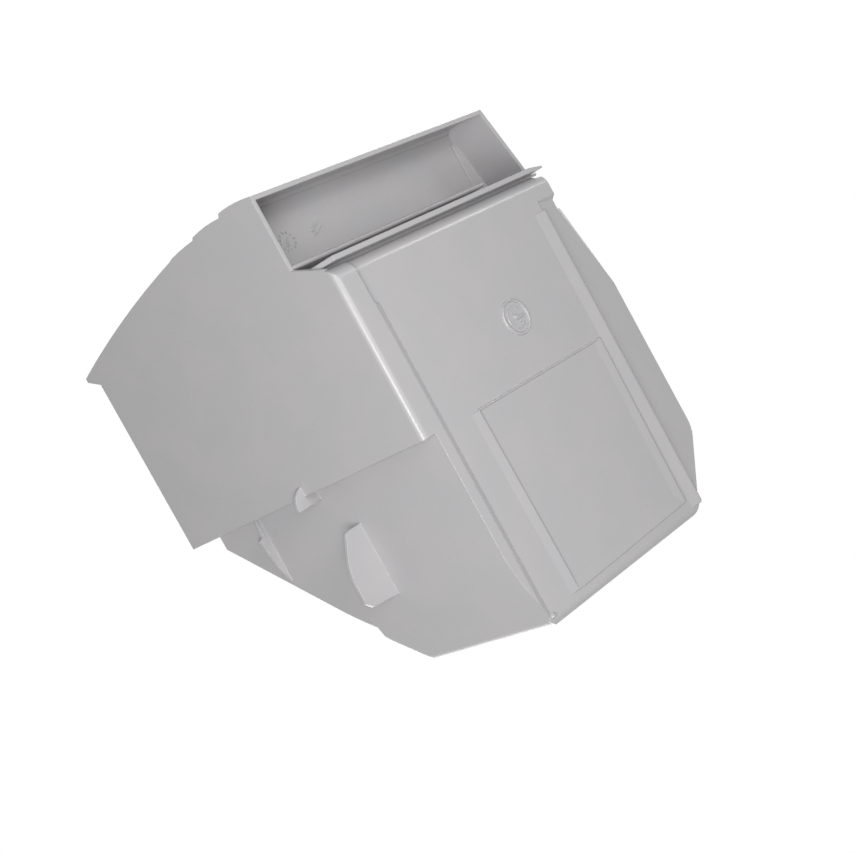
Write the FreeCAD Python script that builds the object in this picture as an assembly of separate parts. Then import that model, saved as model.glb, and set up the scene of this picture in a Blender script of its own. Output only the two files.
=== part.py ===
"""Coffee machine grounds container: one moulded bin, open at the top, with a low front.

Millimetres, +Z up. It stands on the two runners of its bottom panel. +Y is the low, sloped
front, -Y the tall curved rear wall, and -X the side that carries the guide lugs.
Plan positions are first given from the middle of the bin, and the finished moulding is
then set with the middle of its bounding box over the origin.
"""
import FreeCAD
import Part

import math
import os

from FreeCAD import Vector

# Walls
WALL = 1.5                 # side, front and rear walls
FLOOR = 1.5                # bottom panel and raised rear floor
DRAFT = 1.0                # degrees that the side walls open towards the mouth
SKY = 30.0                 # how far a cavity cutter reaches past the rim
MARGIN = 5.0               # spare length of the plan solids, below and behind the bin
SINK = 0.1                 # how far ridges sink into the panel that carries them
TOUCH = 0.01               # slack when an edge is matched to a level
UPRIGHT = 20.0             # least rise of an edge that counts as upright
NEARBY = 6.0               # how close in plan such an edge passes to its spot

# Widths, measured from the middle of the bin at floor level
NEAR_SIDE = 48.0           # side wall of the front half
WING_STEP = 4.9            # how far the rear half stands out from it
FAR_SIDE = 62.7            # far side wall
FAR_REAR = 56.7            # where that wall meets the rear wall
FAR_NOSE = 39.8            # far end of the front wall, after the cut corner
NOSE_CUT = 68.0            # where the cut corner starts, along Y
NOSE_RADIUS = 8.0          # blend between the far wall and the cut corner

# Depths along Y
FRONT = 89.0               # near end of the front wall
FRONT_SKEW = 2.6           # how much further out its far end lies
SHOULDER = 23.0            # where the wider rear half ends
BACK_STEP = -31.9          # rear end of the bottom panel
TAPER_START = 70.6         # near side wall starts to close in here
TAPER = 6.6                # and closes in by this much at the front
TAPER_BLEND = 50.0         # radius of that bend
CORNER_RADIUS = 4.0        # upright front corners

# Heights along Z
PANEL_LIFT = 1.0           # bottom panel above the runners
POCKET_ROOF = 31.7         # ceiling of the rear pocket, under the raised floor
RIM_HIGH = 127.0           # rim of the rear half
RIM_LOW = 116.7            # rim just in front of the shoulder
RIM_LOW_LENGTH = 5.4       # level stretch of that rim
SLOPE_FOOT = 71.3          # lower end of the sloped side rim, along Y
SLOPE_FOOT_HEIGHT = 66.4
NOTCH_LENGTH = 3.9         # level notch at the foot of the slope
BEVEL_FOOT = 4.6           # steeper bevel ends this far behind the front wall
BEVEL_FOOT_HEIGHT = 59.0
FRONT_HEIGHT = 52.5        # where the rim meets the front wall
LIP_FRONT = -41.8          # where the rear lip leaves the rim
LIP_WIDTH = 1.5            # flat top of the rear lip

# Rear wall in section: courses that bow outwards, each stepped in from the one below
SKIRT_FOOT = 14.9          # lower rim of the rear pocket
LIP_TIP = 133.2            # top of the rear lip
COURSES = (
    ((-61.0, SKIRT_FOOT), (-62.3, 21.8), (-62.75, 30.1)),
    ((-61.6, 31.0), (-62.15, 38.0), (-61.9, 45.7)),
    ((-61.15, 46.4), (-61.15, 52.6), (-60.75, 59.6)),
    ((-60.35, 61.0), (-54.75, 97.6), (-46.4, LIP_TIP)),
)

# Rounded bottom edges
BOTTOM_ROUND = 4.4         # along the rear of the bottom panel
WING_ROUND = 2.0           # along the wider rear half
FRONT_ROUND = 3.0

# Rear pocket and the thin flange behind the bottom panel
POCKET_FRONT = -36.9       # front face of the pocket's front wall
POCKET_OPEN = 40.0         # that wall ends here, before the far side
POCKET_STEP = 55.3         # shallow groove across the ceiling
POCKET_STEP_WIDTH = 0.9
POCKET_STEP_DEPTH = 0.35
SLOT_TOP = 24.0            # ceiling of the slot between that wall and the flange
FLANGE = 1.6               # thickness of the flange
FLANGE_TIP = 0.6           # its thickness at the free far end
FLANGE_THINS = 46.0        # it starts to thin here
FLANGE_NEAR = -49.9        # near end of its lower edge
FLANGE_REACH = 52.6        # far end of its lower edge
FLANGE_FIN = 9.0           # height of its free far end
GROOVE = 1.0               # gap between the flange and the bottom panel's rear edge
GROOVE_TOP = 6.0

# Runners under the bottom panel
NEAR_RUNNER_BACK = -17.2
NEAR_RUNNER = 3.8          # flat width of the near runner
NEAR_RUNNER_FOOT = 2.5     # its sloped inner side
FAR_RUNNER_BACK = -20.0
FAR_RUNNER = 43.3          # sharp outer edge of the far runner
FAR_RUNNER_WIDTH = 0.8
FAR_RUNNER_FOOT = 4.2

# Underside beyond the far runner
STRIP_TILT = 8.0           # degrees
STRIP_STEP = 0.5           # depth of the step beside the runner
STRIP_BACK = -23.5         # the strip ramps down from the panel here
STRIP_RAMP = 9.0           # length of that ramp
FACET_TILTS = (45.0, 35.0) # degrees, facets that cut the far lower edge
FACET_HEIGHT = 2.8
FACET_LINE = ((52.6, -36.0), (52.9, -18.8), (60.8, 12.6))

# Raised frame, round mark and pip on the bottom panel
FRAME_REAR_LEFT = (-27.6, 24.0)
FRAME_REAR_RIGHT = (37.4, 25.0)
FRAME_FRONT_LEFT = (-26.8, 84.6)
FRAME_FRONT_RIGHT = (36.2, 85.2)
FRAME_RISE = 0.45
FRAME_CREST = 0.5
FRAME_RAMP = 3.5
MARK_X = 6.6
MARK_Y = 5.7
MARK_RADIUS = 5.9
MARK_RING = 0.8
MARK_RISE = 0.35
MARK_POINTER = 3.6         # length of the pointer inside the ring
PIP_RADIUS = 1.6
PIP_X = -41.2
PIP_Y = 86.2

# Guide lugs on the near side
LUG = 1.4                  # thickness of every lug
LUG_HEIGHT = 48.0
LUG_BACK = 37.9
LUG_LENGTH = 25.1
LUG_REACH = 12.9
LUG_CORNER = 1.2
LUG_PLAN = ((0.52, 0.0), (0.91, 0.36), (1.0, 0.55), (1.0, 0.86), (0.83, 0.95))
HOOK_HEIGHT = 58.8
HOOK_LENGTH = 3.4
HOOK_REACH = 9.7
HOOK_WRAP = 3.5
HOOK_BEND = (0.25, 0.3)    # bend of its hooked side, as shares of reach and wrap
RIB_HEIGHT = 92.4
RIB_REACH = 3.8
RIB_LENGTH = 24.6
RIB_PLAN = ((0.33, -0.03), (0.55, 0.25), (1.0, 0.285), (0.58, 0.73), (0.0, 1.0))


def face(points):
    """Plane face through the given points."""
    return Part.Face(Part.makePolygon(list(points) + [points[0]]))


def plate(points, bottom, thickness):
    """Level plate with the given plan outline."""
    outline = [Vector(x, y, bottom) for x, y in points]
    return face(outline).extrude(Vector(0, 0, thickness))


def block(x0, x1, y0, y1, z0, z1):
    """Box between two corners."""
    return Part.makeBox(x1 - x0, y1 - y0, z1 - z0, Vector(x0, y0, z0))


def opening(height):
    """Growth of each side wall at this height, from the draft."""
    return height * math.tan(math.radians(DRAFT))


def near_wall(height, inset=0.0):
    """X of the near side wall of the front half."""
    return -NEAR_SIDE - opening(height) + inset


def wing_wall(height, inset=0.0):
    """X of the near side wall of the wider rear half."""
    return near_wall(height, inset) - WING_STEP


def flange_rear():
    """Y of the rear face of the flange."""
    return BACK_STEP - GROOVE - FLANGE


def rear_reach():
    """Y that lies behind every course of the rear wall."""
    return min(course[1][0] for course in COURSES) - MARGIN


def nose_angle():
    """Angle between the far wall and the cut corner, in plan."""
    return math.atan2(FAR_SIDE - FAR_NOSE, FRONT + FRONT_SKEW - NOSE_CUT)


def taper_angle():
    """Angle by which the near wall closes in at the front, in plan."""
    return math.atan2(TAPER, FRONT - TAPER_START)


def run_to_front(corner, angle, inset):
    """Point where a wall that leaves a corner at this plan angle meets the front wall."""
    slope = FRONT_SKEW / (FAR_NOSE + NEAR_SIDE - TAPER)
    ahead = FRONT - inset + (corner.x + NEAR_SIDE - TAPER) * slope - corner.y
    length = ahead / (math.cos(angle) - slope * math.sin(angle))
    return corner + Vector(math.sin(angle), math.cos(angle), 0) * length


def main_outline(height, inset):
    """Plan outline of the whole bin, without the wider near half."""
    grow = opening(height) - inset
    nose = nose_angle()
    bend = taper_angle()
    far_corner = Vector(FAR_SIDE + grow, NOSE_CUT - inset * math.tan(nose / 2), height)
    near_corner = Vector(-NEAR_SIDE - grow, TAPER_START - inset * math.tan(bend / 2), height)
    return [
        Vector(-NEAR_SIDE - grow, rear_reach(), height),
        Vector(FAR_REAR + grow, rear_reach(), height),
        Vector(FAR_REAR + grow, COURSES[0][0][0], height),
        Vector(FAR_SIDE + grow, POCKET_FRONT, height),
        far_corner,
        run_to_front(far_corner, -nose, inset),
        run_to_front(near_corner, bend, inset),
        near_corner,
    ]


def wing_outline(height, inset):
    """Plan outline of the wider rear half, on the near side."""
    back = rear_reach()
    return [
        Vector(wing_wall(height, inset), back, height),
        Vector(0, back, height),
        Vector(0, SHOULDER - inset, height),
        Vector(wing_wall(height, inset), SHOULDER - inset, height),
    ]


def drafted(outline, inset, bottom, top):
    """Solid between the outline at two heights, with plane sides."""
    low = outline(bottom, inset)
    high = outline(top, inset)
    faces = [face(low[::-1]), face(high)]
    for index, corner in enumerate(low):
        following = (index + 1) % len(low)
        faces.append(face([corner, low[following], high[following], high[index]]))
    return Part.makeSolid(Part.makeShell(faces))


def upright_edges(solid, spots):
    """Steep edges of a solid that pass near the given plan spots."""
    chosen = []
    for edge in solid.Edges:
        start = edge.Vertexes[0].Point
        end = edge.Vertexes[-1].Point
        if abs(end.z - start.z) < UPRIGHT:
            continue
        for x, y in spots:
            middle = (start + end) * 0.5
            if math.hypot(middle.x - x, middle.y - y) < NEARBY:
                chosen.append(edge)
                break
    return chosen


def shell_plan(inset):
    """Drafted plan of the bin, with its rounded upright corners."""
    bottom = -MARGIN
    top = LIP_TIP + SKY
    main = drafted(main_outline, inset, bottom, top)
    grow = opening((bottom + top) / 2) - inset
    sharp = upright_edges(main, [
        (-NEAR_SIDE + TAPER - grow, FRONT - inset),
        (FAR_NOSE + grow, FRONT + FRONT_SKEW - inset),
    ])
    main = main.makeFillet(CORNER_RADIUS - inset, sharp)
    main = main.makeFillet(NOSE_RADIUS - inset, upright_edges(main, [(FAR_SIDE + grow, NOSE_CUT)]))
    bend = upright_edges(main, [(-NEAR_SIDE - grow, TAPER_START)])
    main = main.makeFillet(TAPER_BLEND - inset, bend)
    wing = drafted(wing_outline, inset, bottom, top)
    return main.fuse(wing).removeSplitter()


def rear_curve(inset):
    """Edges of the rear wall's section from its foot to the top of the lip."""
    edges = []
    for course in COURSES:
        foot, middle, top = [Vector(0, y + inset, z) for y, z in course]
        if edges:
            edges.append(Part.makeLine(edges[-1].Vertexes[-1].Point, foot))
        edges.append(Part.Arc(foot, middle, top).toShape())
    return edges


def closed_section(edges, spots):
    """Face bounded by a run of edges and then by straight lines through (y, z) spots."""
    points = [Vector(0, y, z) for y, z in spots]
    chain = [edges[-1].Vertexes[-1].Point] + points + [edges[0].Vertexes[0].Point]
    lines = [Part.makeLine(a, b) for a, b in zip(chain, chain[1:])]
    return Part.Face(Part.Wire(edges + lines))


def across(section):
    """Solid made by running a side section through the whole width."""
    reach = 2 * (FAR_SIDE + NEAR_SIDE)
    section.translate(Vector(-reach, 0, 0))
    return section.extrude(Vector(2 * reach, 0, 0))


def envelope():
    """Outside of the bin as a filled block, cut to the rim's side profile."""
    notch = SLOPE_FOOT + NOTCH_LENGTH
    ahead = FRONT + FRONT_SKEW
    lip_end = COURSES[-1][-1][0] + LIP_WIDTH
    rim = [(lip_end, LIP_TIP), (LIP_FRONT, RIM_HIGH), (SHOULDER, RIM_HIGH), (SHOULDER, RIM_LOW),
           (SHOULDER + RIM_LOW_LENGTH, RIM_LOW), (SLOPE_FOOT, SLOPE_FOOT_HEIGHT),
           (notch, SLOPE_FOOT_HEIGHT), (FRONT - BEVEL_FOOT, BEVEL_FOOT_HEIGHT),
           (ahead, FRONT_HEIGHT)]
    behind = BACK_STEP - GROOVE
    foot = [(ahead, PANEL_LIFT), (BACK_STEP, PANEL_LIFT), (BACK_STEP, GROOVE_TOP),
            (behind, GROOVE_TOP), (behind, SKIRT_FOOT)]
    section = closed_section(rear_curve(0.0), rim + foot)
    return shell_plan(0.0).common(across(section)).removeSplitter()


def cavity():
    """Hollow of the bin: a deep front well and a shallower shelf above the rear pocket."""
    well = PANEL_LIFT + FLOOR
    shelf = POCKET_ROOF + FLOOR
    step = BACK_STEP + WALL
    behind = flange_rear() + WALL
    ledge = GROOVE_TOP + WALL
    top = LIP_TIP + SKY
    ahead = FRONT + FRONT_SKEW
    lip = COURSES[-1][-1][0] + WALL
    section = closed_section(rear_curve(WALL), [
        (lip, top), (ahead, top), (ahead, well), (step, well), (step, ledge),
        (behind, ledge), (behind, SKIRT_FOOT)])
    reach = NEAR_SIDE + FAR_SIDE
    below_shelf = block(-reach, reach, rear_reach(), behind, -SKY, shelf)
    hollow = shell_plan(WALL).common(across(section)).cut(below_shelf)
    return hollow.cut([strip(WALL)] + facets(WALL))


def strip(lift):
    """Space under the tilted underside beyond the far runner."""
    slope = math.tan(math.radians(STRIP_TILT))
    reach = 2 * FAR_SIDE
    height = PANEL_LIFT + STRIP_STEP + lift
    points = [(FAR_RUNNER, -SKY), (FAR_RUNNER, height),
              (reach, height + (reach - FAR_RUNNER) * slope), (reach, -SKY)]
    section = face([Vector(x, STRIP_BACK, z) for x, z in points])
    space = section.extrude(Vector(0, FRONT - STRIP_BACK + SKY, 0))
    rise = PANEL_LIFT + lift + (reach - FAR_RUNNER) * slope
    ramp = [(STRIP_BACK - SKY, PANEL_LIFT + lift), (STRIP_BACK, PANEL_LIFT + lift),
            (STRIP_BACK + STRIP_RAMP, rise), (STRIP_BACK - SKY, rise)]
    wedge = face([Vector(FAR_RUNNER - MARGIN, y, z) for y, z in ramp])
    return space.cut(wedge.extrude(Vector(2 * reach, 0, 0)))


def facets(lift):
    """Spaces under the facets that cut the far lower edge towards the rear."""
    spaces = []
    for tilt, (x0, y0), (x1, y1) in zip(FACET_TILTS, FACET_LINE, FACET_LINE[1:]):
        rise = math.tan(math.radians(tilt))
        start = Vector(x0, y0, FACET_HEIGHT + lift)
        along = Vector(x1 - x0, y1 - y0, 0)
        out = Vector(along.y, -along.x, 0)
        out.normalize()
        tip = start + out * SKY + Vector(0, 0, SKY * rise)
        low = start + out * SKY - Vector(0, 0, SKY)
        under = start - Vector(0, 0, SKY)
        spaces.append(face([start, tip, low, under]).extrude(along))
    return spaces


def wing_foot():
    """Underside of the wider rear half, level with the near runner."""
    inner = -NEAR_SIDE + NEAR_RUNNER
    foot = block(-FAR_SIDE, inner, BACK_STEP, SHOULDER, 0, PANEL_LIFT + FLOOR / 2)
    return foot.common(shell_plan(0.0))


def rear_round(x0, x1, base):
    """Space outside the rounded rear edge of an underside at this height."""
    middle = Vector(x0, BACK_STEP + BOTTOM_ROUND, base + BOTTOM_ROUND)
    space = block(x0, x1, BACK_STEP - TOUCH, middle.y, -SKY, middle.z)
    return space.cut(Part.makeCylinder(BOTTOM_ROUND, x1 - x0, middle, Vector(1, 0, 0)))


def wing_round():
    """Space outside the rounded lower edge of the wider rear half."""
    middle = Vector(wing_wall(WING_ROUND, WING_ROUND), BACK_STEP, WING_ROUND)
    length = SHOULDER - BACK_STEP + TOUCH
    space = block(-FAR_SIDE, middle.x, BACK_STEP, BACK_STEP + length, -SKY, middle.z)
    return space.cut(Part.makeCylinder(WING_ROUND, length, middle, Vector(0, 1, 0)))


def rounded_bottom(shape):
    """Shape with the underside of its wider rear half, and both rounded lower edges."""
    inner = -NEAR_SIDE + NEAR_RUNNER
    shape = shape.fuse(wing_foot())
    near = rear_round(-FAR_SIDE, inner, 0)
    far = rear_round(inner, FAR_SIDE + SKY, PANEL_LIFT)
    return shape.cut([near, far, wing_round()])


def pocket():
    """Open-bottomed pocket under the raised rear floor."""
    front = POCKET_FRONT - WALL
    foot = COURSES[0][0][0] + WALL
    section = closed_section(rear_curve(WALL), [
        (front, LIP_TIP), (front, SKIRT_FOOT - SKY), (foot, SKIRT_FOOT - SKY)])
    reach = NEAR_SIDE + FAR_SIDE
    roof = block(-reach, reach, -reach, reach, POCKET_ROOF, LIP_TIP + SKY)
    plan = shell_plan(WALL)
    space = plan.common(across(section)).cut(roof)
    open_end = block(POCKET_OPEN, reach, front - WALL, flange_rear(), -SKY, POCKET_ROOF)
    groove = block(POCKET_STEP - POCKET_STEP_WIDTH, POCKET_STEP, COURSES[0][0][0] + BOTTOM_ROUND,
                   front, SKIRT_FOOT, POCKET_ROOF + POCKET_STEP_DEPTH)
    return space.fuse([open_end.common(plan), groove])


def slot():
    """Narrow slot between the pocket's front wall and the flange."""
    reach = NEAR_SIDE + FAR_SIDE
    space = block(-reach, reach, POCKET_FRONT, flange_rear(), -SKY, SLOT_TOP)
    return space.common(shell_plan(WALL))


def rim_cut():
    """Space that takes the square edge off the pocket's front wall."""
    reach = NEAR_SIDE + FAR_SIDE
    front = POCKET_FRONT - WALL
    space = block(-reach, POCKET_OPEN, front, POCKET_FRONT, -SKY, SKIRT_FOOT + WALL / 2)
    return space.common(shell_plan(WALL))


def rim_bead():
    """Rounded lower edge of the pocket's front wall, with its rounded far end."""
    middle = Vector(wing_wall(SKIRT_FOOT, WALL / 2), POCKET_FRONT - WALL / 2, SKIRT_FOOT + WALL / 2)
    length = POCKET_OPEN - middle.x
    bead = Part.makeCylinder(WALL / 2, length, middle, Vector(1, 0, 0))
    height = POCKET_ROOF - middle.z
    tip = middle + Vector(length, 0, 0)
    return [bead, Part.makeSphere(WALL / 2, tip), Part.makeCylinder(WALL / 2, height, tip)]


def gusset():
    """Corner of the near wall that joins the pocket's rim to the flange."""
    spots = [(BACK_STEP + WALL, SKIRT_FOOT), (POCKET_FRONT, SKIRT_FOOT),
             (BACK_STEP, WING_ROUND), (BACK_STEP + WALL, GROOVE_TOP)]
    section = face([Vector(0, y, z) for y, z in spots])
    near = wing_wall(SKIRT_FOOT, WALL)
    reach = NEAR_SIDE + FAR_SIDE
    rest = block(near, reach, rear_reach(), FRONT, -SKY, LIP_TIP)
    return shell_plan(0.0).common(across(section)).cut(rest)


def flange():
    """Thin upright flange behind the bottom panel, down to the level of the runners."""
    near = wing_wall(0.0, WALL)
    fin = FLANGE_REACH + opening(FLANGE_FIN)
    points = [(FLANGE_NEAR, 0.0), (FLANGE_REACH, 0.0), (fin, FLANGE_FIN),
              (FAR_SIDE - WALL, SKIRT_FOOT), (FAR_SIDE - WALL, POCKET_ROOF),
              (near - WALL / 2, POCKET_ROOF), (near - WALL / 2, SKIRT_FOOT), (near, GROOVE_TOP)]
    section = face([Vector(x, flange_rear(), z) for x, z in points])
    plan = [(FLANGE_THINS, flange_rear() - MARGIN), (FLANGE_THINS, flange_rear()),
            (fin, BACK_STEP - GROOVE - FLANGE_TIP), (fin + SKY, BACK_STEP - GROOVE - FLANGE_TIP),
            (fin + SKY, flange_rear() - MARGIN)]
    thinned = face([Vector(x, y, -MARGIN) for x, y in plan])
    thinned = thinned.extrude(Vector(0, 0, MARGIN + FLANGE_FIN))
    return section.extrude(Vector(0, FLANGE, 0)).cut(thinned)


def front_round():
    """Space outside the rounded lower edge of the front wall."""
    near = Vector(-NEAR_SIDE, FRONT - FRONT_SKEW * TAPER / (NEAR_SIDE + FAR_NOSE), 0)
    far = Vector(FAR_NOSE, FRONT + FRONT_SKEW, 0)
    along = far - near
    along.normalize()
    ahead = Vector(-along.y, along.x, 0)
    length = NEAR_SIDE + FAR_SIDE + SKY
    start = near - along * SKY - ahead * FRONT_ROUND
    top = PANEL_LIFT + FRONT_ROUND
    corner = [start - Vector(0, 0, SKY), start + Vector(0, 0, top),
              start + ahead * SKY + Vector(0, 0, top), start + ahead * SKY - Vector(0, 0, SKY)]
    space = face(corner).extrude(along * (length + SKY))
    axis = start + Vector(0, 0, top)
    return space.cut(Part.makeCylinder(FRONT_ROUND, length + SKY, axis, along))


def runners():
    """The two runners under the bottom panel."""
    deep = PANEL_LIFT + FLOOR / 2
    inner = -NEAR_SIDE + NEAR_RUNNER
    near = [(-NEAR_SIDE, deep), (-NEAR_SIDE, 0), (inner, 0), (inner + NEAR_RUNNER_FOOT, PANEL_LIFT),
            (inner + NEAR_RUNNER_FOOT, deep)]
    near_bar = face([Vector(x, NEAR_RUNNER_BACK, z) for x, z in near])
    near_bar = near_bar.extrude(Vector(0, FRONT - NEAR_RUNNER_BACK, 0))
    crest = FAR_RUNNER - FAR_RUNNER_WIDTH
    far = [(FAR_RUNNER, deep), (FAR_RUNNER, 0), (crest, 0),
           (crest - FAR_RUNNER_FOOT, PANEL_LIFT), (crest - FAR_RUNNER_FOOT, deep)]
    far_bar = face([Vector(x, FAR_RUNNER_BACK, z) for x, z in far])
    far_bar = far_bar.extrude(Vector(0, FRONT - FAR_RUNNER_BACK, 0))
    plan = shell_plan(0.0)
    return [near_bar.common(plan), far_bar.common(plan)]


def frame_bar(start, end, ramp):
    """Low ridge from start to end, with a ramp on the side that ramp points to."""
    along = end - start
    base = PANEL_LIFT + SINK
    crest = PANEL_LIFT - FRAME_RISE
    half = Vector(ramp)
    half.normalize()
    half = half * (FRAME_CREST / 2)
    outer = start - half
    inner = start + half
    foot = start + ramp
    points = [Vector(outer.x, outer.y, base), Vector(outer.x, outer.y, crest),
              Vector(inner.x, inner.y, crest), Vector(foot.x, foot.y, PANEL_LIFT),
              Vector(foot.x, foot.y, base)]
    return face(points).extrude(along)


def frame():
    """Raised rectangular frame on the bottom panel."""
    spots = (FRAME_REAR_LEFT, FRAME_REAR_RIGHT, FRAME_FRONT_LEFT, FRAME_FRONT_RIGHT)
    rear_left, rear_right, front_left, front_right = [Vector(x, y, 0) for x, y in spots]
    return [
        frame_bar(rear_left, front_left, Vector(-FRAME_RAMP, 0, 0)),
        frame_bar(rear_right, front_right, Vector(-FRAME_RAMP, 0, 0)),
        frame_bar(rear_left, rear_right, Vector(0, -FRAME_CREST, 0)),
        frame_bar(front_left, front_right, Vector(0, -FRAME_RAMP, 0)),
    ]


def round_mark():
    """Ring with a hub and a pointer on the bottom panel, as a mould date insert leaves."""
    middle = Vector(MARK_X, MARK_Y, PANEL_LIFT - MARK_RISE)
    height = MARK_RISE + SINK
    ring = Part.makeCylinder(MARK_RADIUS, height, middle)
    ring = ring.cut(Part.makeCylinder(MARK_RADIUS - MARK_RING, height, middle))
    hub = Part.makeCylinder(MARK_RING, height, middle)
    pointer = Part.makeBox(MARK_POINTER, MARK_RING, height, middle)
    return [ring, hub, pointer]


def pip():
    """Small rounded pip at the near front corner of the panel."""
    return Part.makeSphere(PIP_RADIUS, Vector(PIP_X, PIP_Y, PIP_RADIUS))


def guide_lug():
    """Large guide lug on the near side wall."""
    root = near_wall(LUG_HEIGHT, WALL / 2)
    wall = near_wall(LUG_HEIGHT)
    plan = [(wall - out * LUG_REACH, LUG_BACK + along * LUG_LENGTH) for out, along in LUG_PLAN]
    outline = [(root, LUG_BACK)] + plan + [(root, LUG_BACK + LUG_LENGTH)]
    lug = plate(outline, LUG_HEIGHT, LUG)
    corners = []
    for edge in lug.Edges:
        spot = edge.BoundBox
        if spot.ZLength > LUG / 2 and spot.XMax < root - LUG_REACH / 2:
            corners.append(edge)
    return lug.makeFillet(LUG_CORNER, corners)


def hook_lug():
    """Small hook that reaches round the shoulder of the wider rear half."""
    root = near_wall(HOOK_HEIGHT, WALL / 2)
    tip = near_wall(HOOK_HEIGHT) - HOOK_REACH
    wing = wing_wall(HOOK_HEIGHT)
    front = SHOULDER + HOOK_LENGTH
    start = Vector(tip, front, HOOK_HEIGHT)
    out, back = HOOK_BEND
    bend = Vector(tip + (wing - tip) * out, SHOULDER - HOOK_WRAP * back, HOOK_HEIGHT)
    end = Vector(wing, SHOULDER - HOOK_WRAP, HOOK_HEIGHT)
    curve = Part.Arc(start, bend, end).toShape()
    inner = wing + WALL / 2
    spots = [(inner, SHOULDER - HOOK_WRAP), (inner, SHOULDER - WALL / 2),
             (root, SHOULDER - WALL / 2), (root, front)]
    chain = [end] + [Vector(x, y, HOOK_HEIGHT) for x, y in spots] + [start]
    lines = [Part.makeLine(a, b) for a, b in zip(chain, chain[1:])]
    return Part.Face(Part.Wire([curve] + lines)).extrude(Vector(0, 0, LUG))


def side_rib():
    """Thin stop rib high on the near side wall."""
    root = near_wall(RIB_HEIGHT, WALL / 2)
    wall = near_wall(RIB_HEIGHT)
    plan = [(wall - out * RIB_REACH, SHOULDER + along * RIB_LENGTH) for out, along in RIB_PLAN]
    outline = [(root, SHOULDER - WALL / 2)] + plan + [(root, SHOULDER + RIB_LENGTH)]
    return plate(outline, RIB_HEIGHT, LUG)


def container():
    """The whole moulding, with the middle of its box over the origin."""
    shape = rounded_bottom(envelope())
    shape = shape.cut([strip(0.0)] + facets(0.0))
    shape = shape.cut(slot()).fuse(gusset())
    shape = shape.cut(pocket()).cut(cavity()).cut(rim_cut())
    added = runners() + frame() + round_mark() + rim_bead()
    added += [pip(), flange(), guide_lug(), hook_lug(), side_rib()]
    shape = shape.fuse(added).cut(front_round()).removeSplitter()
    box = shape.optimalBoundingBox(False, False)
    shape.translate(Vector(-box.Center.x, -box.Center.y, -box.ZMin))
    print("moved by", round(-box.Center.x, 3), round(-box.Center.y, 3), round(-box.ZMin, 3))
    return shape


def main():
    """Write the container's one solid."""
    os.makedirs("parts", exist_ok=True)
    shape = container()
    box = shape.optimalBoundingBox(False, False)
    print("solids", len(shape.Solids), "valid", shape.isValid(), "volume", round(shape.Volume))
    print("size", round(box.XLength, 2), round(box.YLength, 2), round(box.ZLength, 2))
    shape.exportStep("parts/grounds_container.step")


main()
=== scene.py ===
"""Looks of the coffee machine grounds container.

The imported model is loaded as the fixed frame. Its one moulding gets the finish of silver-grey
ABS, and the small marks that mould inserts leave in it are added as relief. It stands on a
pale floor under soft studio light. The camera stands at the photograph's viewing angle, low
on the near side and looking up at the underside of the bin. Lengths are in metres unless a
name says millimetres.
"""
import logging
import math
from dataclasses import dataclass, field
from enum import Enum
from typing import Dict, List, Optional, Sequence, Tuple

import bmesh
import bpy
from mathutils import Matrix, Vector


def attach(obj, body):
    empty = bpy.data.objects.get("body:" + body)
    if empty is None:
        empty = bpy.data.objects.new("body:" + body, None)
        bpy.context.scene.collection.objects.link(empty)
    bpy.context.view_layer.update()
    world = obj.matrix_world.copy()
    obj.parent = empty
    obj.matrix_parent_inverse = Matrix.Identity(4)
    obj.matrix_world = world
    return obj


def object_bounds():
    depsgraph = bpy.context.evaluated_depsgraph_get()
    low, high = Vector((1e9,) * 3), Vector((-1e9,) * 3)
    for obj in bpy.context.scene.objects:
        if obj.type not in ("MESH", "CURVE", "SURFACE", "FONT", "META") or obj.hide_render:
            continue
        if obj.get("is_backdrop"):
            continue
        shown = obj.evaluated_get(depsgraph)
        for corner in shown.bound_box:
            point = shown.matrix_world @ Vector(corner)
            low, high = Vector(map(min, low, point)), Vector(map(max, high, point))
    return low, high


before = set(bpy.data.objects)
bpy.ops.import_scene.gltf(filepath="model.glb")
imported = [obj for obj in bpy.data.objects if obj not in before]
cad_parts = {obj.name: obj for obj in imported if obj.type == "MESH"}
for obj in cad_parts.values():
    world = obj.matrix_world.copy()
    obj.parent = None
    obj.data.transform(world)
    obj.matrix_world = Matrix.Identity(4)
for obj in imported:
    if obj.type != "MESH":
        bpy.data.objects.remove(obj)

LOG = logging.getLogger("scene")
MM = 0.001
BODY = "root"
# Heights of the two faces that carry marks.
UNDER_PANEL_MM = 1.0
POCKET_CEILING_MM = 31.7
FULL_TURN_DEG = 360.0
KNOB_SEGMENTS = 20
KNOB_RINGS = 12
BEAD_STEPS = 72
BEAD_SIDES = 12
# The sRGB curve: a straight toe, then a power.
SRGB_TOE = 0.04045
SRGB_TOE_SLOPE = 12.92
SRGB_SHIFT = 0.055
SRGB_POWER = 2.4

Colour = Tuple[float, float, float, float]
Point = Tuple[float, float, float]
Spot = Tuple[float, float]


class Operation(Enum):
    """Operations of the math nodes."""

    ADD = "ADD"
    MULTIPLY = "MULTIPLY"
    MULTIPLY_ADD = "MULTIPLY_ADD"
    MAXIMUM = "MAXIMUM"
    LESS_THAN = "LESS_THAN"
    GREATER_THAN = "GREATER_THAN"
    DOT_PRODUCT = "DOT_PRODUCT"


def linear(hex_colour: str) -> Colour:
    """Turn an sRGB hex string into Blender's linear colour.

    Args:
        hex_colour: Colour as "#RRGGBB".

    Returns:
        Linear red, green, blue and alpha.
    """
    parts = [int(hex_colour[i:i + 2], 16) / 255 for i in (1, 3, 5)]
    red, green, blue = [
        part / SRGB_TOE_SLOPE if part <= SRGB_TOE
        else ((part + SRGB_SHIFT) / (1 + SRGB_SHIFT)) ** SRGB_POWER
        for part in parts
    ]
    return red, green, blue, 1.0


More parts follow.
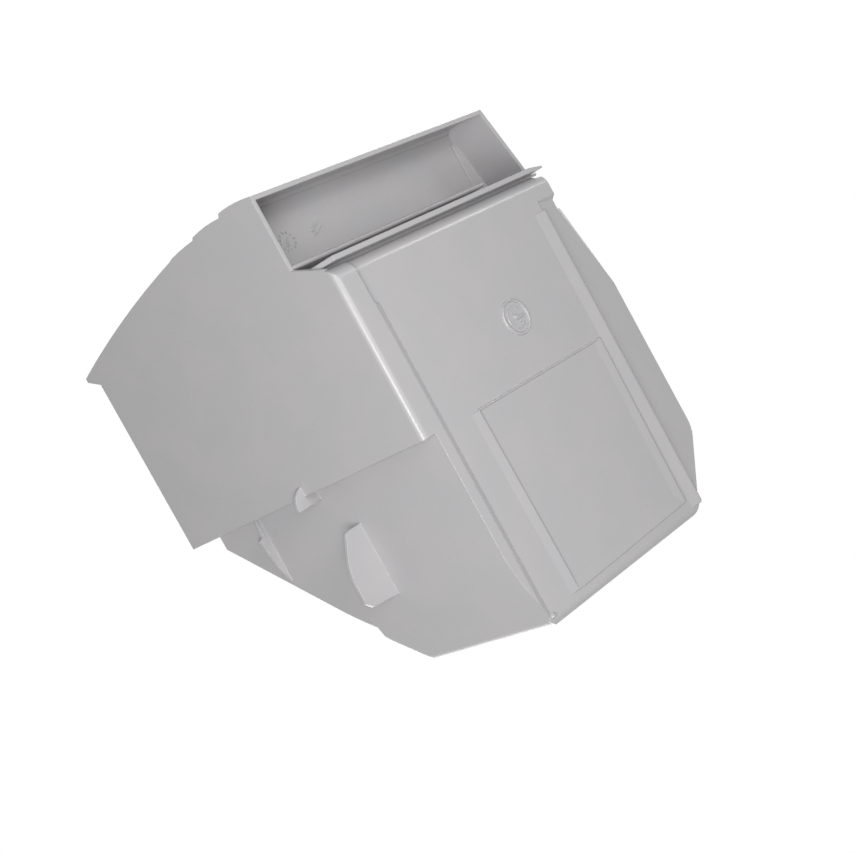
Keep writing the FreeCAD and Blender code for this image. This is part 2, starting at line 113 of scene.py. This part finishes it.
def add_node(tree: bpy.types.NodeTree, kind: str, inputs: Optional[Dict] = None,
             **settings) -> bpy.types.Node:
    """Add a node with its settings and links.

    Args:
        tree: Tree that the node goes into.
        kind: Type name of the node.
        inputs: Values, or output sockets to link, by input name or number.
        settings: Properties of the node.

    Returns:
        The new node.
    """
    node = tree.nodes.new(kind)
    for key, value in settings.items():
        setattr(node, key, value.value if isinstance(value, Enum) else value)
    for key, value in (inputs or {}).items():
        if isinstance(value, bpy.types.NodeSocket):
            tree.links.new(value, node.inputs[key])
        else:
            node.inputs[key].default_value = value
    return node


def empty_material(name: str) -> bpy.types.Material:
    """Make a material whose node tree is empty.

    Args:
        name: Name of the material.

    Returns:
        The material.
    """
    material = bpy.data.materials.new(name)
    material.use_nodes = True
    material.node_tree.nodes.clear()
    return material


@dataclass(frozen=True)
class SinkLine:
    """Faint sink in the near wall, over a rib or wall that joins it from inside.

    Args:
        middle_mm: Middle of the line, as (y, z).
        length_mm: Length of the line.
        width_mm: Width of the line.
        lean_deg: Lean of the line from the Y axis towards Z.
    """

    middle_mm: Spot
    length_mm: float
    width_mm: float
    lean_deg: float


@dataclass(frozen=True)
class PolishedEdge:
    """Rounded lower edge that is smoother than the walls, as where a mould is polished.

    Args:
        corner: Direction in which the edge stands out.
        top_mm: Height where the rounding ends.
    """

    corner: Point
    top_mm: float


@dataclass(frozen=True)
class MouldedABS:
    """Injection-moulded ABS with silver-grey pigment, from a mould with a fine spark texture.

    The pigment gives an even light grey without sparkle, and the texture turns gloss into a
    broad satin sheen that only edges and bevels bring to a highlight.

    Args:
        name: Name of the material.
        colour: Colour of the pigment.
        cool: Tone of the pigment where the melt flowed last.
        flow_mm: Size of those patches.
        flow_detail: Detail of their noise.
        flow_ends: Values of that noise between which the tone changes.
        ior: Index of refraction of ABS.
        roughness: Mean roughness.
        uneven: How far the roughness strays from its mean.
        grain_mm: Grain of the spark texture, drawn twice as coarse as real so that it shows.
        grain_height_mm: Height of that grain.
        grain_detail: Detail of its noise.
        grain_ends: Values of that noise between which the roughness changes.
        wave_mm: Size of the soft waves in flat walls.
        wave_height_mm: Height of those waves.
        wave_detail: Detail of their noise.
        edge_mm: Radius of the softened edges.
        edge_samples: Samples that soften them.
        sink_depth_mm: Depth of the sink lines.
        near_wall_mm: Where the near wall stands, along X.
        wall_mm: How far the sink lines reach to both sides of it.
        sinks: The sink lines.
        polished: Rounded lower edges that are smoother than the walls.
        polish_limit: Least agreement between the surface and a polished edge's direction.
        polish: How much less rough the polished edges are.
    """

    name: str = "moulded_silver_grey_abs"
    colour: str = "#BFBDBE"
    cool: str = "#BCBBBD"
    flow_mm: float = 18.0
    flow_detail: float = 2.0
    flow_ends: Spot = (0.35, 0.65)
    ior: float = 1.54
    roughness: float = 0.30
    uneven: float = 0.04
    grain_mm: float = 0.35
    grain_height_mm: float = 0.012
    grain_detail: float = 3.0
    grain_ends: Spot = (0.3, 0.7)
    wave_mm: float = 26.0
    wave_height_mm: float = 0.05
    wave_detail: float = 1.0
    edge_mm: float = 0.5
    edge_samples: int = 6
    sink_depth_mm: float = 0.06
    near_wall_mm: float = -54.5
    wall_mm: float = 30.0
    sinks: Tuple[SinkLine, ...] = (
        SinkLine((-46.4, 70.0), 92.0, 1.8, 90.0),
        SinkLine((-10.0, 52.0), 86.0, 1.8, 90.0),
        SinkLine((-60.5, 72.3), 38.0, 2.0, -55.0),
        SinkLine((-47.6, 54.2), 19.0, 2.0, -54.0),
    )
    polished: Tuple[PolishedEdge, ...] = (
        PolishedEdge((-0.7071, 0.0, -0.7071), 2.3),
        PolishedEdge((0.0, -0.7071, -0.7071), 5.8),
    )
    polish_limit: float = 0.76
    polish: float = 0.08

    def material(self) -> bpy.types.Material:
        """Make the material.

        Returns:
            The material.
        """
        material = empty_material(self.name)
        tree = material.node_tree
        spot = add_node(tree, "ShaderNodeTexCoord").outputs
        grain = add_node(tree, "ShaderNodeTexNoise", {
            "Vector": spot["Object"], "Scale": 1 / (self.grain_mm * MM),
            "Detail": self.grain_detail,
        }).outputs[0]
        flow = add_node(tree, "ShaderNodeTexNoise", {
            "Vector": spot["Object"], "Scale": 1 / (self.flow_mm * MM),
            "Detail": self.flow_detail,
        }).outputs[0]
        rounded = add_node(tree, "ShaderNodeBevel", {"Radius": self.edge_mm * MM},
                           samples=self.edge_samples)
        normal = self.relief(tree, grain, rounded.outputs[0])
        tone = add_node(tree, "ShaderNodeValToRGB", {"Fac": flow})
        ends = tone.color_ramp.elements
        ends[0].position, ends[1].position = self.flow_ends
        ends[0].color, ends[1].color = linear(self.colour), linear(self.cool)
        rough = add_node(tree, "ShaderNodeMapRange", {
            "Value": grain, "From Min": self.grain_ends[0], "From Max": self.grain_ends[1],
            "To Min": self.roughness - self.uneven, "To Max": self.roughness + self.uneven,
        })
        rough = add_node(tree, "ShaderNodeMath", {
            0: self.edges(tree), 1: -self.polish, 2: rough.outputs[0],
        }, operation=Operation.MULTIPLY_ADD)
        shader = add_node(tree, "ShaderNodeBsdfPrincipled", {
            "Base Color": tone.outputs[0], "Roughness": rough.outputs[0], "IOR": self.ior,
            "Metallic": 0.0, "Normal": normal,
        })
        add_node(tree, "ShaderNodeOutputMaterial", {"Surface": shader.outputs[0]})
        return material

    def edges(self, tree: bpy.types.NodeTree) -> bpy.types.NodeSocket:
        """Find the polished edges.

        Args:
            tree: Tree of the material.

        Returns:
            Socket that is 1 on the polished edges and 0 elsewhere.
        """
        spot = add_node(tree, "ShaderNodeTexCoord").outputs
        height = add_node(tree, "ShaderNodeSeparateXYZ", {0: spot["Object"]}).outputs[2]
        found = None
        for edge in self.polished:
            agree = add_node(tree, "ShaderNodeVectorMath", {
                0: spot["Normal"], 1: edge.corner,
            }, operation=Operation.DOT_PRODUCT).outputs[1]
            turned = add_node(tree, "ShaderNodeMath", {0: agree, 1: self.polish_limit},
                              operation=Operation.GREATER_THAN)
            low = add_node(tree, "ShaderNodeMath", {0: height, 1: edge.top_mm * MM},
                           operation=Operation.LESS_THAN)
            here = add_node(tree, "ShaderNodeMath", {
                0: turned.outputs[0], 1: low.outputs[0],
            }, operation=Operation.MULTIPLY).outputs[0]
            if found is not None:
                here = add_node(tree, "ShaderNodeMath", {0: here, 1: found},
                                operation=Operation.MAXIMUM).outputs[0]
            found = here
        return found

    def relief(self, tree: bpy.types.NodeTree, grain: bpy.types.NodeSocket,
               normal: bpy.types.NodeSocket) -> bpy.types.NodeSocket:
        """Add soft waves, sink lines and the grain to a normal.

        Args:
            tree: Tree of the material.
            grain: Socket with the grain.
            normal: Socket with the normal.

        Returns:
            Socket with the new normal.
        """
        place = add_node(tree, "ShaderNodeTexCoord").outputs["Object"]
        lines = None
        for sink in self.sinks:
            lean = math.radians(sink.lean_deg)
            middle = Vector((self.near_wall_mm, *sink.middle_mm)) * MM
            size = Vector((self.wall_mm, sink.length_mm / 2, sink.width_mm)) * MM
            local = add_node(tree, "ShaderNodeMapping", {
                "Vector": place, "Location": middle, "Rotation": (lean, 0.0, 0.0),
                "Scale": size,
            }, vector_type="TEXTURE")
            line = add_node(tree, "ShaderNodeTexGradient", {"Vector": local.outputs[0]},
                            gradient_type="QUADRATIC_SPHERE").outputs[1]
            if lines is not None:
                line = add_node(tree, "ShaderNodeMath", {0: line, 1: lines},
                                operation=Operation.MAXIMUM).outputs[0]
            lines = line
        waves = add_node(tree, "ShaderNodeTexNoise", {
            "Vector": place, "Scale": 1 / (self.wave_mm * MM), "Detail": self.wave_detail,
        }).outputs[0]
        layers = (
            (waves, self.wave_height_mm, False),
            (lines, self.sink_depth_mm, True),
            (grain, self.grain_height_mm, False),
        )
        for height, depth, sunk in layers:
            normal = add_node(tree, "ShaderNodeBump", {
                "Strength": 1.0, "Distance": depth * MM, "Height": height, "Normal": normal,
            }, invert=sunk).outputs[0]
        return normal


@dataclass(frozen=True)
class PaleFloor:
    """Matt white lacquered board, seen from above only, so that the camera can look up past it.

    Args:
        name: Name of the material.
        colour: Colour of the board.
        clear: Colour that passes unchanged through its underside.
    """

    name: str = "white_lacquered_board"
    colour: str = "#F2F2F1"
    clear: str = "#FFFFFF"

    def material(self) -> bpy.types.Material:
        """Make the material.

        Returns:
            The material.
        """
        material = empty_material(self.name)
        tree = material.node_tree
        under = add_node(tree, "ShaderNodeNewGeometry").outputs["Backfacing"]
        board = add_node(tree, "ShaderNodeBsdfDiffuse", {"Color": linear(self.colour)})
        clear = add_node(tree, "ShaderNodeBsdfTransparent", {"Color": linear(self.clear)})
        both = add_node(tree, "ShaderNodeMixShader", {
            0: under, 1: board.outputs[0], 2: clear.outputs[0],
        })
        add_node(tree, "ShaderNodeOutputMaterial", {"Surface": both.outputs[0]})
        return material


@dataclass
class Moulding:
    """The bin itself, a single moulding, which the frame holds.

    Args:
        nodes: The frame's nodes by name.
    """

    nodes: Dict[str, bpy.types.Object]

    def dress(self, material: bpy.types.Material) -> None:
        """Put the finish on every node.

        Args:
            material: The finish.
        """
        for node in self.nodes.values():
            if not node.material_slots:
                node.data.materials.append(material)
            for slot in node.material_slots:
                slot.material = material


@dataclass
class Relief:
    """Low relief that a mould insert leaves on a face that looks down.

    Args:
        name: Name of the piece.
        middle_mm: Middle of the relief on its face, in the row frame.
        face_mm: Height of that face.
        turn_deg: Turn of the relief about its middle.
        sunk_mm: How deep its shapes are rooted in the face.
        mesh: Mesh that its shapes go into.
    """

    name: str
    middle_mm: Spot
    face_mm: float
    turn_deg: float = 0.0
    sunk_mm: float = 0.1
    mesh: bmesh.types.BMesh = field(default_factory=bmesh.new, repr=False)

    def knob(self, at_mm: Spot, size_mm: Spot, rise_mm: float, turn_deg: float = 0.0) -> None:
        """Add a smooth low knob or stroke.

        Args:
            at_mm: Its middle, from the middle of the relief.
            size_mm: Its length and width.
            rise_mm: How far it stands out of the face.
            turn_deg: Turn of its length.
        """
        tall = rise_mm + self.sunk_mm
        place = (Matrix.Rotation(math.radians(self.turn_deg), 4, "Z")
                 @ Matrix.Translation((at_mm[0] * MM, at_mm[1] * MM, 0.0))
                 @ Matrix.Rotation(math.radians(turn_deg), 4, "Z")
                 @ Matrix.Diagonal((size_mm[0] * MM / 2, size_mm[1] * MM / 2, tall * MM, 1.0)))
        bmesh.ops.create_uvsphere(self.mesh, u_segments=KNOB_SEGMENTS, v_segments=KNOB_RINGS,
                                  radius=1.0, matrix=place)

    def bead(self, radius_mm: float, width_mm: float, rise_mm: float,
             start_deg: float = 0.0, end_deg: float = FULL_TURN_DEG) -> None:
        """Add a rounded bead along a circle, or along a part of it.

        Args:
            radius_mm: Radius of the circle.
            width_mm: Width of the bead.
            rise_mm: How far it stands out of the face.
            start_deg: Where the bead starts.
            end_deg: Where it ends.
        """
        sweep_deg = end_deg - start_deg
        closed = sweep_deg >= FULL_TURN_DEG
        tall = (rise_mm + self.sunk_mm) * MM
        rows = []
        for step in range(BEAD_STEPS if closed else BEAD_STEPS + 1):
            angle = math.radians(self.turn_deg + start_deg + sweep_deg * step / BEAD_STEPS)
            row = []
            for side in range(BEAD_SIDES):
                about = 2 * math.pi * side / BEAD_SIDES
                reach = (radius_mm + width_mm / 2 * math.cos(about)) * MM
                row.append(self.mesh.verts.new((
                    reach * math.cos(angle), reach * math.sin(angle), tall * math.sin(about),
                )))
            rows.append(row)
        pairs = list(zip(rows, rows[1:]))
        if closed:
            pairs.append((rows[-1], rows[0]))
        else:
            self.mesh.faces.new(rows[0])
            self.mesh.faces.new(reversed(rows[-1]))
        for first, second in pairs:
            for side in range(BEAD_SIDES):
                after = (side + 1) % BEAD_SIDES
                self.mesh.faces.new((first[side], second[side], second[after], first[after]))

    def shapes(self) -> None:
        """Add the shapes of the relief; each kind of mark has its own."""

    def build(self) -> bpy.types.Object:
        """Build the piece in its place, riding on the bin.

        Returns:
            The piece.
        """
        self.shapes()
        bmesh.ops.recalc_face_normals(self.mesh, faces=self.mesh.faces[:])
        for face in self.mesh.faces:
            face.smooth = True
        data = bpy.data.meshes.new(self.name)
        self.mesh.to_mesh(data)
        self.mesh.free()
        piece = bpy.data.objects.new(self.name, data)
        piece.location = Vector((*self.middle_mm, self.face_mm + self.sunk_mm)) * MM
        bpy.context.collection.objects.link(piece)
        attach(piece, BODY)
        return piece

    def dress(self, piece: bpy.types.Object, material: bpy.types.Material) -> None:
        """Give the piece its finish."""
        piece.data.materials.append(material)


@dataclass
class DateInsert(Relief):
    """Round date insert on the bottom panel: a beaded rim, an inner ring and a hub.

    Args:
        rim_mm: Radius of the beaded rim.
        rim_width_mm: Width of that bead.
        rim_rise_mm: How far it stands out.
        ring_mm: Radius of the inner ring.
        ring_width_mm: Width of that ring.
        ring_rise_mm: How far it stands out.
        ring_deg: Where that ring starts and ends.
        hub_mm: Diameter of the hub.
        notch_mm: Length and width of the two strokes beside the hub.
        notch_off_mm: How far from the hub's middle their middles lie.
        notch_turns_deg: Turns of the two strokes.
    """

    rim_mm: float = 5.5
    rim_width_mm: float = 1.0
    rim_rise_mm: float = 0.62
    ring_mm: float = 3.5
    ring_width_mm: float = 0.6
    ring_rise_mm: float = 0.3
    ring_deg: Spot = (70.0, 350.0)
    hub_mm: float = 1.9
    notch_mm: Spot = (1.5, 0.6)
    notch_off_mm: float = 2.1
    notch_turns_deg: Spot = (40.0, 90.0)

    def shapes(self) -> None:
        """Add rim, ring, hub and strokes."""
        self.bead(self.rim_mm, self.rim_width_mm, self.rim_rise_mm)
        self.bead(self.ring_mm, self.ring_width_mm, self.ring_rise_mm, *self.ring_deg)
        self.knob((0.0, 0.0), (self.hub_mm, self.hub_mm), self.rim_rise_mm)
        for off_mm, turn in zip((self.notch_off_mm, -self.notch_off_mm), self.notch_turns_deg):
            self.knob((0.0, off_mm), self.notch_mm, self.ring_rise_mm, turn)


@dataclass
class MouldClock(Relief):
    """Ring of dots with a pointer on the pocket's ceiling, which tells when a mould was run.

    Args:
        dots: Number of dots.
        radius_mm: Radius of the ring.
        dot_mm: Length and width of one dot.
        rise_mm: How far the dots stand out.
        pointer_mm: Length and width of the pointer.
        barb_deg: Turn of the two barbs of its head, one to each side.
        barb_back_mm: How far back from the head's tip they are moved, along their turn.
    """

    dots: int = 12
    radius_mm: float = 2.9
    dot_mm: Spot = (1.1, 0.65)
    rise_mm: float = 0.34
    pointer_mm: Spot = (3.6, 0.6)
    barb_deg: float = 35.0
    barb_back_mm: float = 0.6

    def shapes(self) -> None:
        """Add the dots, and the pointer with its head."""
        for count in range(self.dots):
            turn = FULL_TURN_DEG * count / self.dots
            angle = math.radians(turn)
            spot = (self.radius_mm * math.cos(angle), self.radius_mm * math.sin(angle))
            self.knob(spot, self.dot_mm, self.rise_mm, turn)
        half = self.pointer_mm[0] / 2
        self.knob((0.0, 0.0), self.pointer_mm, self.rise_mm)
        for turn in (self.barb_deg, -self.barb_deg):
            angle = math.radians(turn)
            spot = (half - self.barb_back_mm * math.cos(angle),
                    -self.barb_back_mm * math.sin(angle))
            self.knob(spot, (half, self.pointer_mm[1]), self.rise_mm, turn)


@dataclass
class FanMark(Relief):
    """Fan of short strokes on the pocket's ceiling.

    Args:
        strokes_deg: Turns of the strokes.
        stroke_mm: Length and width of one stroke.
        radius_mm: How far from the middle their middles lie.
        rise_mm: How far they stand out.
        bar_off_mm: How far behind the middle the bar lies that they stand on.
    """

    strokes_deg: Tuple[float, ...] = (0.0, 30.0, 60.0, 90.0, 120.0, 150.0)
    stroke_mm: Spot = (2.4, 0.55)
    radius_mm: float = 2.2
    rise_mm: float = 0.34
    bar_off_mm: float = 0.6

    def shapes(self) -> None:
        """Add the strokes and the bar that they stand on."""
        for turn in self.strokes_deg:
            angle = math.radians(turn)
            spot = (self.radius_mm * math.cos(angle), self.radius_mm * math.sin(angle))
            self.knob(spot, self.stroke_mm, self.rise_mm, turn)
        bar_mm = (2 * self.stroke_mm[0], self.stroke_mm[1])
        self.knob((0.0, -self.bar_off_mm), bar_mm, self.rise_mm)


@dataclass(frozen=True)
class Softbox:
    """Square area lamp that points at the middle of the bin.

    Args:
        name: Name of the lamp.
        towards: Direction from the bin to the lamp.
        distance: Distance from the bin.
        size: Edge length of the lamp.
        share: Brightness that it gives a surface facing it, as a share of full white.
    """

    name: str
    towards: Point
    distance: float
    size: float
    share: float

    def build(self, middle: Vector) -> None:
        """Set up the lamp.

        Args:
            middle: Point that it aims at.
        """
        data = bpy.data.lights.new(self.name, "AREA")
        data.shape = "SQUARE"
        data.size = self.size
        data.energy = self.share * math.pi ** 2 * self.distance ** 2
        towards = Vector(self.towards).normalized()
        light = bpy.data.objects.new(self.name, data)
        light.location = middle + towards * self.distance
        light.rotation_mode = "QUATERNION"
        light.rotation_quaternion = (-towards).to_track_quat("-Z", "Y")
        bpy.context.collection.objects.link(light)


@dataclass
class Studio:
    """Pale floor, soft lamps, pale sky and the camera.

    Args:
        floor_size: Edge length of the floor.
        floor_gap: Gap between the floor and the runners, which keeps the two faces apart.
        sky: Colour of the sky that lights the bin.
        sky_level: Strength of that sky.
        seen: Colour of the sky where it is seen, also in reflections.
        lamps: The lamps.
        camera_place: Place of the camera in the row frame.
        camera_axes: Directions of the picture's right, of its top and back to the camera.
        lens_mm: Focal length.
        sensor_mm: Width of the sensor.
    """

    floor_size: float = 3.0
    floor_gap: float = 0.00005
    sky: str = "#FFFEFD"
    sky_level: float = 0.22
    seen: str = "#FFFFFF"
    lamps: Tuple[Softbox, ...] = (
        Softbox("front softbox", (-0.79, 0.10, -0.60), 0.55, 0.26, 0.57),
        Softbox("low softbox", (-0.24, -0.26, -0.93), 0.80, 0.30, 0.30),
        Softbox("edge softbox", (0.70, -0.38, -0.60), 1.1, 0.16, 0.05),
        Softbox("far softbox", (0.75, -0.52, 0.40), 1.2, 0.80, 0.40),
        Softbox("top softbox", (0.25, 0.60, 0.76), 1.2, 0.90, 0.50),
    )
    camera_place: Point = (-0.314909, -0.014408, -0.280000)
    camera_axes: Tuple[Point, Point, Point] = (
        (0.62043, 0.48133, -0.61918),
        (0.38263, -0.87495, -0.29675),
        (-0.68459, -0.05280, -0.72702),
    )
    lens_mm: float = 57.82
    sensor_mm: float = 36.0

    def build_floor(self) -> bpy.types.Object:
        """Lay the floor under the runners and mark it as stage.

        Returns:
            The floor.
        """
        half = self.floor_size / 2
        corners = [(-half, -half, 0), (half, -half, 0), (half, half, 0), (-half, half, 0)]
        mesh = bpy.data.meshes.new("floor")
        mesh.from_pydata(corners, [], [(0, 1, 2, 3)])
        floor = bpy.data.objects.new("floor", mesh)
        floor.location.z = -self.floor_gap
        bpy.context.collection.objects.link(floor)
        # It casts no shadow and stays out of reflections, so the lamps below reach the bin.
        floor.visible_shadow = False
        floor.visible_diffuse = False
        floor.visible_glossy = False
        floor.visible_transmission = False
        floor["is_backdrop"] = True
        return floor

    def build_sky(self) -> None:
        """Set up the sky, plain white where it is seen and softer where it only lights."""
        world = bpy.data.worlds.new("studio")
        bpy.context.scene.world = world
        world.use_nodes = True
        tree = world.node_tree
        tree.nodes.clear()
        path = add_node(tree, "ShaderNodeLightPath").outputs
        seen = path["Is Camera Ray"]
        for ray in ("Is Glossy Ray", "Is Transmission Ray"):
            seen = add_node(tree, "ShaderNodeMath", {0: seen, 1: path[ray]},
                            operation=Operation.ADD, use_clamp=True).outputs[0]
        lit = add_node(tree, "ShaderNodeBackground", {
            "Color": linear(self.sky), "Strength": self.sky_level,
        })
        white = add_node(tree, "ShaderNodeBackground", {
            "Color": linear(self.seen), "Strength": 1.0,
        })
        both = add_node(tree, "ShaderNodeMixShader", {
            0: seen, 1: lit.outputs[0], 2: white.outputs[0],
        })
        add_node(tree, "ShaderNodeOutputWorld", {"Surface": both.outputs[0]})

    def build_camera(self) -> None:
        """Place the camera of the photograph."""
        data = bpy.data.cameras.new("photo camera")
        data.lens = self.lens_mm
        data.sensor_width = self.sensor_mm
        camera = bpy.data.objects.new("photo camera", data)
        axes = Matrix(self.camera_axes).transposed().to_4x4()
        camera.matrix_world = Matrix.Translation(self.camera_place) @ axes
        bpy.context.collection.objects.link(camera)
        bpy.context.scene.camera = camera

    def build(self, middle: Vector, board: bpy.types.Material) -> None:
        """Set up the whole studio.

        Args:
            middle: Middle of the bin.
            board: Finish of the floor.
        """
        self.build_floor().data.materials.append(board)
        self.build_sky()
        for lamp in self.lamps:
            lamp.build(middle)
        self.build_camera()
        bpy.context.scene.view_settings.view_transform = "Standard"


MARKS: Tuple[Relief, ...] = (
    DateInsert("date_insert", (5.01, -8.71), UNDER_PANEL_MM, -30.0),
    MouldClock("mould_clock", (-35.17, -62.06), POCKET_CEILING_MM, 115.0),
    FanMark("fan_mark", (-21.51, -62.03), POCKET_CEILING_MM, 150.0),
)


def main() -> None:
    """Build and dress every piece, and set up the studio round them."""
    logging.basicConfig(level=logging.INFO)
    cad_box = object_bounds()
    plastic = MouldedABS().material()
    moulding = Moulding(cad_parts)
    moulding.dress(plastic)
    LOG.info("moulding dressed: %s", sorted(moulding.nodes))
    for mark in MARKS:
        mark.dress(mark.build(), plastic)
        LOG.info("relief built: %s", mark.name)
    Studio().build((cad_box[0] + cad_box[1]) / 2, PaleFloor().material())
    LOG.info("studio set up")


if __name__ == "__main__":
    main()
